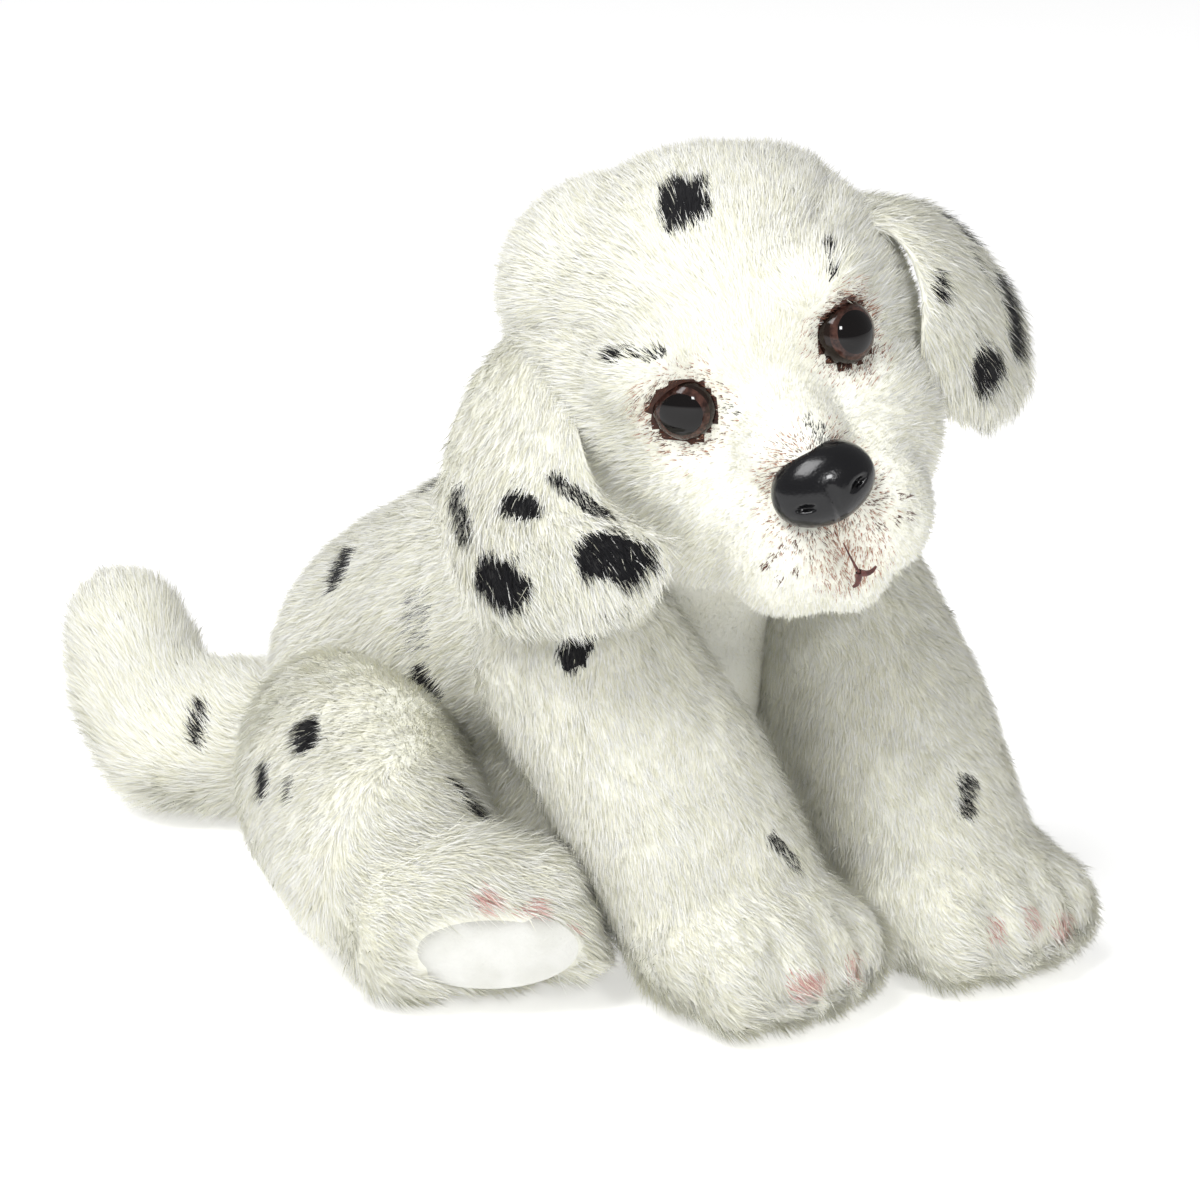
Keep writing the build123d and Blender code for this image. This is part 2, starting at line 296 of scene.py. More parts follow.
def melt(name, mesh, voxel=2.2, smoothing=10):
    """One smooth closed mesh round everything in a bmesh."""
    raw = bpy.data.meshes.new(name + "_raw")
    mesh.to_mesh(raw)
    mesh.free()
    rough = show(name + "_raw", raw)
    remesh = rough.modifiers.new("melt", "REMESH")
    remesh.mode = "VOXEL"
    remesh.voxel_size = voxel * MM
    smooth = rough.modifiers.new("soften", "SMOOTH")
    smooth.factor = 0.6
    smooth.iterations = smoothing
    depsgraph = bpy.context.evaluated_depsgraph_get()
    final = bpy.data.meshes.new_from_object(rough.evaluated_get(depsgraph))
    bpy.data.objects.remove(rough)
    final.name = name
    final.shade_smooth()
    return final


def vertices_of(mesh):
    points = np.zeros(len(mesh.vertices) * 3)
    mesh.vertices.foreach_get("co", points)
    return points.reshape(-1, 3) / MM


def normals_of(mesh):
    normals = np.zeros(len(mesh.vertices) * 3)
    mesh.vertices.foreach_get("normal", normals)
    return normals.reshape(-1, 3)


def set_vertices(mesh, points):
    mesh.vertices.foreach_set("co", (points * MM).ravel())
    mesh.update()


def crease(mesh, start, end, width, depth):
    """Pulls a skin in along a sewn line."""
    points, normals = vertices_of(mesh), normals_of(mesh)
    share = 1 - smoothstep(0, width, distance_to_line(points, start, end))
    set_vertices(mesh, points - normals * (depth * share)[:, None])


def flatten_below(mesh, floor):
    points = vertices_of(mesh)
    points[:, 2] = np.maximum(points[:, 2], floor)
    set_vertices(mesh, points)


def on_skin(skin, point):
    """The point of a skin nearest to a place."""
    return np.array(skin.closest_point_on_mesh(Vector(point) * MM)[1]) / MM


# ---- Pile

def scatter(mesh, density, seed):
    """Points spread evenly over a mesh, with their normals: density is per square mm."""
    mesh.calc_loop_triangles()
    corners = np.zeros(len(mesh.loop_triangles) * 3, np.int64)
    mesh.loop_triangles.foreach_get("vertices", corners)
    corners = corners.reshape(-1, 3)
    points, normals = vertices_of(mesh), normals_of(mesh)
    a, b, c = (points[corners[:, k]] for k in range(3))
    areas = np.linalg.norm(np.cross(b - a, c - a), axis=1) / 2
    draw = np.random.default_rng(seed)
    count = int(areas.sum() * density)
    chosen = draw.choice(len(corners), count, p=areas / areas.sum())
    u, v = draw.random(count), draw.random(count)
    flip = u + v > 1
    u[flip], v[flip] = 1 - u[flip], 1 - v[flip]
    weights = np.stack([1 - u - v, u, v], 1)[:, :, None]
    spots = (points[corners[chosen]] * weights).sum(1)
    facing = unit((normals[corners[chosen]] * weights).sum(1))
    return spots, facing, draw


def attach(piece, body):
    """A piece moves with a body; an ear piece is not attached to one, and only has its transform
    baked into its mesh.
    """
    if body in EAR_BENDS:
        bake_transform(piece)
    else:
        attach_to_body(piece, body)


def strands(name, roots, facing, ways, lengths, bend, colour, body, draw):
    """One piece of pile: every strand is a tapered blade of a quad and a triangle."""
    count = len(roots)
    side = unit(np.cross(ways, facing)) + 0.25 * draw.normal(size=(count, 3))
    side = unit(side - ways * (side * ways).sum(1)[:, None])
    outward = (np.cross(side, ways) * facing).sum(1)
    side = side * np.where(outward < 0, -1, 1)[:, None]
    width = STRAND_WIDTH * draw.uniform(0.7, 1.3, count)[:, None]
    middle = roots + ways * lengths[:, None] * 0.5
    tips = middle + unit(ways + bend) * lengths[:, None] * 0.5
    corners = np.stack([
        roots - side * width * 0.5,
        roots + side * width * 0.5,
        middle + side * width * 0.42,
        middle - side * width * 0.42,
        tips,
    ], 1).reshape(-1, 3)
    corners[:, 2] = np.maximum(corners[:, 2], 0)    # pile lies flat where it meets the floor
    first = np.arange(count)[:, None] * 5
    loops = (first + np.array([0, 1, 2, 3, 3, 2, 4])).ravel()
    starts = (np.arange(count)[:, None] * 7 + np.array([0, 4])).ravel()
    mesh = bpy.data.meshes.new(name)
    mesh.vertices.add(count * 5)
    mesh.vertices.foreach_set("co", (corners * MM).ravel())
    mesh.loops.add(len(loops))
    mesh.loops.foreach_set("vertex_index", loops.astype(np.int32))
    mesh.polygons.add(count * 2)
    mesh.polygons.foreach_set("loop_start", starts.astype(np.int32))
    mesh.update(calc_edges=True)
    mesh.polygons.foreach_set("use_smooth", np.ones(count * 2, bool))
    soft = unit(facing * 1.0 + ways * 0.4 + 0.2 * draw.normal(size=(count, 3)))
    mesh.normals_split_custom_set_from_vertices(np.repeat(soft, 5, axis=0))
    attach(show(name, mesh, PILE[colour]), body)


def clumped(tips, roots, cell, pull):
    """Tips drawn a little towards the middle of their tuft."""
    keys = np.floor(roots / cell + 0.35 * np.sin(roots[:, ::-1] / cell * 2.1)).astype(np.int64)
    _, tuft = np.unique(keys, axis=0, return_inverse=True)
    tuft = tuft.ravel()
    total = np.maximum(np.bincount(tuft), 1)
    middle = np.stack([np.bincount(tuft, tips[:, k]) / total for k in range(3)], 1)
    return tips + (middle[tuft] - tips) * pull


def pile(skin, body, density, length, flow, paint, seed, lift=0.55, keep=None, tuft=2.6):
    """Covers a skin with pile. length(points, facing), flow(points) and paint(points, draw)
    say how long it is, which way it lies and what colour each strand has."""
    roots, facing, draw = scatter(skin.data, density, seed)
    if keep is not None:
        kept = keep(roots, facing, draw)
        roots, facing = roots[kept], facing[kept]
    lie = unit(flow(roots))
    lie = lie - facing * (lie * facing).sum(1)[:, None]
    lie = lie / np.maximum(np.linalg.norm(lie, axis=1), 0.25)[:, None]
    swirl = np.cross(facing, lie) * (ripple(roots, 26, seed + 1) * 0.35)[:, None]
    rise = lift + 0.12 * ripple(roots, 9, seed + 2)
    ways = unit(facing * rise[:, None] + lie + swirl + 0.28 * draw.normal(size=roots.shape))
    lengths = length(roots, facing) * draw.uniform(0.7, 1.15, len(roots))
    tips = clumped(roots + ways * lengths[:, None], roots, tuft, 0.26)
    ways = unit(tips - roots)
    bend = lie * 0.25 - np.array([0, 0, 0.12])
    roots = roots - facing * ROOT_SINK
    colours = paint(roots + ways * (lengths * 0.5)[:, None], draw)
    for colour in sorted(set(colours)):
        own = np.flatnonzero(colours == colour)
        for part, start in enumerate(range(0, len(own), STRANDS_IN_A_PIECE)):
            mine = own[start:start + STRANDS_IN_A_PIECE]
            strands(
                f"{skin.name}_pile_{colour}_{part}", roots[mine], facing[mine], ways[mine],
                lengths[mine], bend[mine], colour, body, draw,
            )


def snapped(skin, spots):
    """Spots moved onto the nearest skin."""
    return [(on_skin(skin, start), on_skin(skin, end), radius) for start, end, radius in spots]


def painted(spots=(), stains=()):
    """A colour for every strand: white and cream, with soft black spots and stains.
    A spot is (start, end, radius); a stain is (colour, start, end, radius, share)."""
    def paint(points, draw):
        shade = draw.random(len(points)) + 0.12 * ripple(points, 8, 5)
        colours = np.where(shade < CREAM_SHARE, "cream", "white").astype("<U8")
        colours[shade < SHADE_SHARE] = "shade"
        for colour, start, end, radius, share in stains:
            away = distance_to_line(points, start, end) / radius
            hit = draw.random(len(points)) < share * (1 - smoothstep(0.5, 1.1, away))
            colours[hit] = colour
        for start, end, radius in spots:
            away = distance_to_line(points, start, end)
            ragged = radius * (1 + 0.22 * ripple(points, 7, 3))
            edge = 1 - smoothstep(0.75, 1.15, away / ragged)
            colours[draw.random(len(points)) < edge * 0.97] = "black"
        return colours
    return paint


def darken_backing(skin, spots):
    """Gives the faces under the black spots the dark backing."""
    mesh = skin.data
    centres = np.zeros(len(mesh.polygons) * 3)
    mesh.polygons.foreach_get("center", centres)
    centres = centres.reshape(-1, 3) / MM
    dark = np.zeros(len(centres), bool)
    for start, end, radius in spots:
        if radius > SMALLEST_BACKED_SPOT:
            dark |= distance_to_line(centres, start, end) < radius * 0.8
    mesh.polygons.foreach_set("material_index", dark.astype(np.int32))


# ---- Torso

RUMP = np.array([0, 0, 46])
CHEST = np.array([0, -68, 76])
TORSO_SPOTS = [
    ((-31, 5, 83), (-35, 4, 79), 4.5),
    ((-45, -43, 65), (-45, -45, 61), 3.5),
    ((38, 8, 74), (36, 4, 80), 4.5),
    ((44, -40, 66), (45, -46, 62), 4.0),
    ((6, 36, 74), (12, 38, 70), 4.0),
    ((-12, -18, 108), (-18, -14, 106), 4.0),
]
TORSO_STAINS = [("grey", (-43, -38, 84), (-45, -40, 74), 5, 0.3)]


def build_torso():
    form = bmesh.new()
    lump(form, RUMP + (0, 2, 0), (49, 46, 45))
    lump(form, (0, -32, 66), (47, 45, 45))
    limb(form, [RUMP + (0, 2, 1), (0, -32, 66), CHEST], [46, 46, 41.5])
    lump(form, (0, -44, 34), (42, 32, 32))
    lump(form, CHEST, (41, 40, 44))
    lump(form, (0, -84, 66), (26, 26, 30))
    limb(form, [CHEST + (0, -8, 14), joint_at("neck_turn")], [34, 31])
    mesh = melt("torso_skin", form, smoothing=24)
    flatten_below(mesh, TORSO_CLEARANCE)
    skin = show("torso_skin", mesh, BACKING, BACKING_DARK)
    spots = snapped(skin, TORSO_SPOTS)
    darken_backing(skin, spots)
    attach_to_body(skin, "torso")
    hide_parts("torso_right_panel", "torso_left_panel", "seat_panel", "chest_bib",
                "torso_stuffing", "neck_stuffing")

    def flow(points):
        return np.tile([0, 0.75, -0.65], (len(points), 1)) + unit(points * (1, 0, 0)) * 0.2

    def length(points, facing):
        bib = (points[:, 1] < -88) & (np.abs(points[:, 0]) < 30)
        return np.where(bib, 1.8, 5.5)

    def keep(points, facing, draw):
        return points[:, 2] > TORSO_LOWEST_ROOT

    pile(skin, "torso", 3.6, length, flow, painted(spots, TORSO_STAINS), 11, lift=0.52, keep=keep)


# ---- Head

NOSE_TIP = on_head((0, -66, -23))
EYES = {-1: on_head((-19.6, -43.5, 2.8)), 1: on_head((24.3, -43.2, 2))}
EYE_WAYS = {side: unit(head_way((side * 20, -43.5, 2))) for side in (-1, 1)}
EYE_AXES = {side: (EYES[side] - EYE_WAYS[side] * 8, EYES[side] + EYE_WAYS[side] * 8)
            for side in (-1, 1)}
MOUTH = on_head((0, -64, -45))
CROWN_SPOTS = [
    ((4, -20, 43), (2, -25, 41), 6.5),
    ((28, -40, 23), (25, -46, 18), 1.9),
    ((-29, -41, 22), (-20, -46, 19), 2.2),
    ((4, -60, -8), (4, -62, -12), 2.2),
    ((-9, -46, -2), (-11, -47, 0), 1.8),
    ((-20, 28, 36), (-24, 31, 30), 5.5),
    ((26, 40, 2), (29, 38, 8), 5.0),
]
HEAD_SPOTS = [(on_head(start), on_head(end), radius) for start, end, radius in CROWN_SPOTS]
# Whisker dots on one side of the muzzle: across and height, on the head's own axes
WHISKER_DOTS = [(10, -31), (14, -31), (18, -32), (22, -34), (9, -37), (14, -38), (19, -39)]
HEAD_STAINS = [
    ("rust", *EYE_AXES[-1], 13.5, 0.7),
    ("rust", *EYE_AXES[1], 13.5, 0.7),
    ("brown", *EYE_AXES[-1], 11.5, 1.0),
    ("brown", *EYE_AXES[1], 11.5, 1.0),
    ("rust", NOSE_TIP, MOUTH, 11.0, 0.6),
    ("rust", NOSE_TIP, NOSE_TIP, 19.0, 0.7),
    ("brown", NOSE_TIP, NOSE_TIP, 16.5, 0.7),
]


def build_head():
    form = bmesh.new()

    def part(centre, radii):
        lump(form, on_head(centre), radii, HEAD_AXES)

    part((0, 0, 0), (48.5, 47.5, 48.5))
    part((-17, 6, 22), (27.5, 27, 28))
    part((20, 8, 18), (24, 22, 22))
    for side in (-1, 1):
        part((side * 19, -24, -22), (21, 25, 25))
        part((side * 10.5, -46, -36), (16, 18, 18))
        part((side * 22, -36, 15), (13, 12, 10))
    part((0, -30, -38), (25, 27, 20))
    part((0, -44, -14), (14, 22, 14))
    part((0, -44, -46), (12, 16, 13))
    mesh = melt("head_skin_plush", form, smoothing=8)
    points, normals = vertices_of(mesh), normals_of(mesh)
    for side in (-1, 1):
        away = distance_to_line(points, *EYE_AXES[side])
        points = points - normals * (1.4 * (1 - smoothstep(4, 12, away)))[:, None]
    set_vertices(mesh, points)
    crease(mesh, on_head((0, -62, -30)), on_head((0, -58, -56)), 4.5, 2.2)
    for side in (-1, 1):
        crease(mesh, on_head((side * 48, 12, 27)), on_head((side * 31, -29, 27)), 5.0, 2.4)
    skin = show("head_skin_plush", mesh, BACKING, BACKING_DARK, BACKING_BROWN)
    stains = list(HEAD_STAINS)
    for side in (-1, 1):
        for across, height in WHISKER_DOTS:
            dot = on_skin(skin, on_head((side * across, -66, height)))
            stains.append(("brown", dot, dot, 1.5, 0.9))
    spots = snapped(skin, HEAD_SPOTS)
    darken_backing(skin, spots)
    for polygon in mesh.polygons:
        centre = np.array([polygon.center]) / MM
        if min(distance_to_line(centre, *axis)[0] for axis in EYE_AXES.values()) < 8.4:
            polygon.material_index = 2
    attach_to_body(skin, "head")
    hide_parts("head_skin", "muzzle", "head_stuffing")

    def flow(points):
        down = head_way((0, 0.2, -0.35))
        return unit(points - NOSE_TIP) + down

    def length(points, facing):
        from_nose = np.linalg.norm(points - NOSE_TIP, axis=1)
        base = 2.2 + 3.2 * smoothstep(14, 60, from_nose)
        for axis in EYE_AXES.values():
            near = distance_to_line(points, *axis)
            base = base * (0.5 + 0.5 * smoothstep(8, 17, near))
        return base

    def keep(points, facing, draw):
        clear = np.ones(len(points), bool)
        for axis in EYE_AXES.values():
            clear &= distance_to_line(points, *axis) > 6.8
        return clear

    pile(skin, "head", 5.0, length, flow, painted(spots, stains), 21, keep=keep,
         lift=0.52)


# ---- Ears

EAR_ROWS, EAR_COLUMNS = 40, 26
EAR_THICKNESS = 4.6
EAR_ROUND_FROM = 0.6      # where along its length an ear starts to round off

# Each station down an ear, on the head's own axes: its middle, the way to its front edge,
# and half its width before the end is rounded off.
RIGHT_EAR = [
    ((-36, -2, 24), (9, -27, 1), 15),
    ((-51, -8, 13), (16, -23, -4), 18),
    ((-62, -23, -4), (31, -24, -7), 22),
    ((-61, -42, -19), (42, -22, 0), 27),
    ((-63, -49, -31), (42, -22, 0), 28),
]
LEFT_EAR = [
    ((34, -1, 20), (-9, -27, 1), 14.5),
    ((55, -7, 9), (-13, -19, 6), 14),
    ((61, -13, -11), (-25, -27, 20), 20),
    ((56, -19, -28), (-24, -25, 20), 24),
    ((51, -22, -40), (-24, -25, 20), 24),
]
# Spots on an ear: down and across at each end (the front edge is 1), then radius in mm
EAR_SPOTS = {
    "right": [
        (0.72, -0.62, 0.78, -0.5, 6.0),
        (0.75, 0.42, 0.8, 0.66, 6.5),
        (0.54, 0.0, 0.56, 0.14, 3.8),
        (0.5, -0.7, 0.6, -0.68, 3.0),
        (0.46, 0.55, 0.6, 0.8, 2.2),
    ],
    "left": [
        (0.76, 0.15, 0.8, 0.3, 6.0),
        (0.52, -0.5, 0.68, -0.45, 5.2),
        (0.3, -0.6, 0.37, -0.65, 3.0),
        (0.4, -0.25, 0.5, -0.2, 2.0),
        (0.48, 0.75, 0.54, 0.8, 2.4),
    ],
}


def ear_bend(stations):
    """Two points along an ear: a fifth of the way from its root towards its third station, and
    that station.
    """
    root, end = on_head(stations[0][0]), on_head(stations[2][0])
    return tuple(Vector(point) * MM for point in (root + (end - root) * 0.2, end))


def through(stations, shares):
    """A smooth curve through evenly spaced stations."""
    values = np.array(stations, float)
    padded = np.concatenate([[2 * values[0] - values[1]], values, [2 * values[-1] - values[-2]]])
    place = np.clip(np.asarray(shares, float), 0, 1) * (len(values) - 1)
    index = np.minimum(place.astype(int), len(values) - 2)
    share = (place - index).reshape(-1, *[1] * (values.ndim - 1))
    a, b, c, d = (padded[index + k] for k in range(4))
    return 0.5 * (
        2 * b + (c - a) * share + (2 * a - 5 * b + 4 * c - d) * share ** 2
        + (3 * b - a - 3 * c + d) * share ** 3
    )


def ear_sheet(stations, down, across):
    """Points and outward ways on an ear's middle sheet."""
    middle = through([station[0] for station in stations], down)
    reach = unit(through([unit(station[1]) for station in stations], down))
    half = through([[station[2]] for station in stations], down)[:, 0]
    past = np.clip((down - EAR_ROUND_FROM) / (1 - EAR_ROUND_FROM), 0, 1)
    half = half * np.sqrt(np.clip(1 - past ** 2.6, 0.0004, 1))
    ahead = through([station[0] for station in stations], np.minimum(down + 0.02, 1))
    behind = through([station[0] for station in stations], np.maximum(down - 0.02, 0))
    along = unit(ahead - behind)
    outward = unit(np.cross(reach, along))
    outward = outward * np.sign((outward * middle * (1, 0, 0)).sum(1))[:, None]
    cup = -5.0 * across ** 2 * down
    point = middle + reach * (half * across)[:, None] + outward * cup[:, None]
    return on_head_all(point), outward @ HEAD_AXES.T


def on_head_all(points):
    return HEAD_CENTRE + points @ HEAD_AXES.T


def ear_mesh(name, stations):
    """A closed flap that is narrow at its root, round at its end and cupped a little."""
    down = np.repeat(np.linspace(0, 1, EAR_ROWS), EAR_COLUMNS)
    across = np.tile(np.linspace(-1, 1, EAR_COLUMNS), EAR_ROWS)
    points, outward = ear_sheet(stations, down, across)
    fullness = (1 - np.abs(across) ** 4) * (1 - np.clip((down - 0.8) / 0.2, 0, 1) ** 3)
    offset = outward * (0.4 + EAR_THICKNESS / 2 * fullness)[:, None]
    form = bmesh.new()
    layers = []
    for sign in (1, -1):
        layers.append([form.verts.new(point * MM) for point in points + offset * sign])
    columns = EAR_COLUMNS
    for row in range(EAR_ROWS - 1):
        for column in range(columns - 1):
            k = row * columns + column
            for layer in layers:
                form.faces.new([layer[k], layer[k + 1], layer[k + columns + 1],
                                layer[k + columns]])
    rim = list(range(columns))
    rim += [row * columns + columns - 1 for row in range(1, EAR_ROWS)]
    rim += [(EAR_ROWS - 1) * columns + c for c in range(columns - 2, -1, -1)]
    rim += [row * columns for row in range(EAR_ROWS - 2, 0, -1)]
    for k, j in zip(rim, rim[1:] + rim[:1]):
        form.faces.new([layers[0][j], layers[0][k], layers[1][k], layers[1][j]])
    bmesh.ops.recalc_face_normals(form, faces=form.faces)
    mesh = bpy.data.meshes.new(name)
    form.to_mesh(mesh)
    form.free()
    mesh.shade_smooth()
    return mesh


def build_ear(side_name, stations, seed):
    mesh = ear_mesh(f"{side_name}_ear_plush", stations)
    skin = show(mesh.name, mesh, BACKING, BACKING_DARK)
    spots = []
    for down, across, end_down, end_across, radius in EAR_SPOTS[side_name]:
        ends, outward = ear_sheet(
            stations, np.array([down, end_down]), np.array([across, end_across])
        )
        ends = ends + outward * 2
        spots.append((ends[0], ends[1], radius))
    darken_backing(skin, spots)
    body = f"{side_name}_ear"
    attach(skin, body)
    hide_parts(f"{side_name}_ear", f"{side_name}_ear_lining")
    middles = on_head_all(np.array([station[0] for station in stations], float))
    outside = unit(ear_sheet(stations, np.array([0.6]), np.array([0.0]))[1][0])

    def flow(points):
        late = smoothstep(20, 60, np.linalg.norm(points - middles[0], axis=1))[:, None]
        return unit(middles[2] - middles[0]) * (1 - late) + unit(middles[4] - middles[2]) * late

    def length(points, facing):
        away = np.linalg.norm(points - middles[0], axis=1)
        inside = (facing @ outside) < -0.3
        return np.where(inside, 2.5, 5.0 + 2.5 * smoothstep(25, 70, away))

    pile(skin, body, 4.0, length, flow, painted(spots), seed, lift=0.52)


# ---- Front legs

LEG_SPOTS = {
    "right_front_leg": [
        ((-29, -155, 46), (-25, -156, 39), 2.2),
        ((-57, -117, 93), (-59, -116, 89), 4.0),
    ],
    "left_front_leg": [((30, -161, 48), (27, -163, 41), 2.6), ((66, -120, 78), (68, -124, 72), 4)],
    "right_hind_leg": [
        ((-86, -46, 60), (-89, -50, 58), 4.0),
        ((-95, -38, 49), (-95, -42, 45), 3.2),
        ((-97, -53, 51), (-99, -56, 47), 1.8),
        ((-72, -84, 50), (-66, -92, 44), 2.6),
    ],
    "left_hind_leg": [
        ((84, -40, 60), (88, -44, 58), 4.2),
        ((96, -62, 44), (98, -66, 40), 3.2),
        ((72, -84, 50), (68, -90, 46), 2.6),
    ],
}
TOE_STAINS = {
    "right_front_leg": [(-43, -182, 17), (-32, -183, 17), (-21, -181, 18)],
    "left_front_leg": [(18, -184, 19), (28, -187, 20), (39, -190, 16)],
    "right_hind_leg": [(-89, -118, 33), (-77, -125, 30), (-70, -128, 22)],
    "left_hind_leg": [(89, -118, 33), (77, -125, 30), (70, -128, 22), (104, -92, 30)],
}


# How the soft paws settle away from the middles of their soles
PAW_SHIFT = {"right": np.array([8, 7, 0]), "left": np.array([-6, 3, 0])}


def toe_marks(skin, name):
    """Soft pink smudges on the toes."""
    marks = [on_skin(skin, place) for place in TOE_STAINS[name]]
    return [("pink", mark, mark, 4.2, 0.55) for mark in marks]


def build_front_leg(side_name, seed):
    name = f"{side_name}_front_leg"
    shoulder = joint_at(f"{name}_swing")
    low, high = box_mm(f"{name}_sole")
    paw = np.array([(low[0] + high[0]) / 2, (low[1] + high[1]) / 2, 19]) + PAW_SHIFT[side_name]
    form = bmesh.new()
    wrist = paw + (0, 12, 8)
    limb(form, [shoulder, (shoulder + wrist) / 2 + (0, -2, 0), wrist], [26, 27.5, 26])
    lump(form, paw + (0, 2, 0), (30, 27, 19))
    for across in (-18, -6, 6, 18):
        reach = -18 + abs(across) * 0.3
        lump(form, paw + (across, reach, -3), (10, 12, 13))
    mesh = melt(f"{name}_plush", form, smoothing=6)
    flatten_below(mesh, FLOOR_CLEARANCE)
    for across in (-12, 0, 12):
        top = paw + (across, -20, 10)
        bottom = paw + (across * 1.1, -30, -12)
        crease(mesh, top, bottom, 4.5, 0.8)
    skin = show(mesh.name, mesh, BACKING, BACKING_DARK)
    spots = snapped(skin, LEG_SPOTS[name])
    darken_backing(skin, spots)
    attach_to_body(skin, name)
    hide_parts(f"{name}_skin", f"{name}_sole", f"{name}_stuffing")
    stains = toe_marks(skin, name)

    def flow(points):
        reach = smoothstep(40, 15, points[:, 2])[:, None]
        return np.array([0, -0.45, -0.9]) * (1 - reach) + np.array([0, -1.0, -0.3]) * reach

    def length(points, facing):
        return 4.8 + 2.0 * smoothstep(30, 8, points[:, 2])

    def keep(points, facing, draw):
        return points[:, 2] > LOWEST_ROOT

    pile(skin, name, 3.8, length, flow, painted(spots, stains), seed,
         lift=0.55, keep=keep)


# ---- Hind legs

HIND_FOOT = np.array([82, -103, 22])
FOOT_SHIFT = {"right": np.array([0, 0, 0]), "left": np.array([7, 4, 3])}
HIND_TOE_IN = math.radians(42)
SOLE_HALF = (22.0, 10.5)
SOLE_LOW = -4.0            # the sole's middle against the middle of the foot


def foot_axes(side):
    """Toe direction, sole direction and up, for a hind foot."""
    toe = np.array([-side * math.cos(HIND_TOE_IN), -math.sin(HIND_TOE_IN), 0])
    out = np.array([side * math.sin(HIND_TOE_IN), -math.cos(HIND_TOE_IN), 0])
    return toe, out, np.array([0, 0, 1.0])


def build_hind_leg(side, side_name, seed):
    name = f"{side_name}_hind_leg"
    hip = joint_at(f"{name}_splay")
    toe, out, up = foot_axes(side)
    foot = HIND_FOOT * (side, 1, 1) - out * 8 + toe * 2 + up * 1.5 + FOOT_SHIFT[side_name]
    axes = np.stack([toe, out, up], 1)
    form = bmesh.new()
    knee = np.array([side * 79, -68, 33])
    thigh = hip + (-side * 6, -6, 1)
    limb(form, [thigh, (thigh + knee) / 2 + (side * 2, 0, 2), knee], [27, 30, 27])
    lump(form, foot - toe * 2 + up * 1, (30, 19, 20), axes)
    lump(form, foot - toe * 17 - up * 5, (16, 18, 17), axes)
    for index, height in enumerate((-8, 1, 10)):
        lump(form, foot + toe * (22 - index * 3) + up * height, (10, 14, 8), axes)
    mesh = melt(f"{name}_plush", form, smoothing=6)
    points = vertices_of(mesh)
    beyond = np.maximum((points - foot) @ out - 16.5, 0)
    set_vertices(mesh, points - beyond[:, None] * 0.85 * out)
    flatten_below(mesh, FLOOR_CLEARANCE)
    skin = show(mesh.name, mesh, BACKING, BACKING_DARK)
    spots = snapped(skin, LEG_SPOTS[name])
    darken_backing(skin, spots)
    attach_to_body(skin, name)
    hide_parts(f"{name}_skin", f"{name}_stuffing")
    stains = toe_marks(skin, name)
    sole = foot + up * SOLE_LOW + toe * 3

    def on_sole(points, grow=0.0):
        across, rise = (points - sole) @ toe, (points - sole) @ up
        oval = (across / (SOLE_HALF[0] + grow)) ** 2 + (rise / (SOLE_HALF[1] + grow)) ** 2
        return (oval < 1) & ((points - foot) @ out > 8)

    def flow(points):
        near = smoothstep(50, 25, np.linalg.norm(points - foot, axis=1))[:, None]
        down_thigh = unit(hip + np.array([side * 60, -34, -52]) - points)
        return down_thigh * (1 - near) + (toe + 0.3 * out - 0.2 * up) * near

    def length(points, facing):
        near = smoothstep(50, 20, np.linalg.norm(points - foot, axis=1))
        return np.where(on_sole(points), 1.1, 5.0 + 2.0 * near)

    def keep(points, facing, draw):
        return points[:, 2] > LOWEST_ROOT

    pile(skin, name, 3.8, length, flow, painted(spots, stains), seed,
         lift=0.55, keep=keep)
    build_hind_sole(name, sole, toe, out, up)


def build_hind_sole(name, sole, toe, out, up):
    """The short velour oval on the outer side of a hind foot, slightly crowned."""
    rings, spokes = 10, 48
    form = bmesh.new()
    front = form.verts.new((sole + out * SOLE_CROWN) * MM)
    previous = None
    for ring in range(1, rings + 1):
        share = ring / rings
        circle = []
        for spoke in range(spokes):
            angle = 2 * math.pi * spoke / spokes
            point = sole + toe * SOLE_HALF[0] * share * math.cos(angle)
            point = point + up * SOLE_HALF[1] * share * math.sin(angle)
            crown = SOLE_CROWN - SOLE_FALL * share ** 3
            circle.append(form.verts.new((point + out * crown) * MM))
        for k in range(spokes):
            j = (k + 1) % spokes
            if previous is None:
                form.faces.new([front, circle[k], circle[j]])
            else:
                form.faces.new([previous[k], circle[k], circle[j], previous[j]])
        previous = circle
    bmesh.ops.recalc_face_normals(form, faces=form.faces)
    mesh = bpy.data.meshes.new(f"{name}_sole_pad")
    form.to_mesh(mesh)
    form.free()
    mesh.shade_smooth()
    pad = show(mesh.name, mesh, SHADED_VELOUR)
    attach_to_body(pad, name)
    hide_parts(f"{name}_sole")


# ---- Tail

TAIL_SPOTS = [((-48, 47, 34), (-50, 48, 28), 3.0), ((-24, 84, 40), (-26, 86, 34), 3.5)]


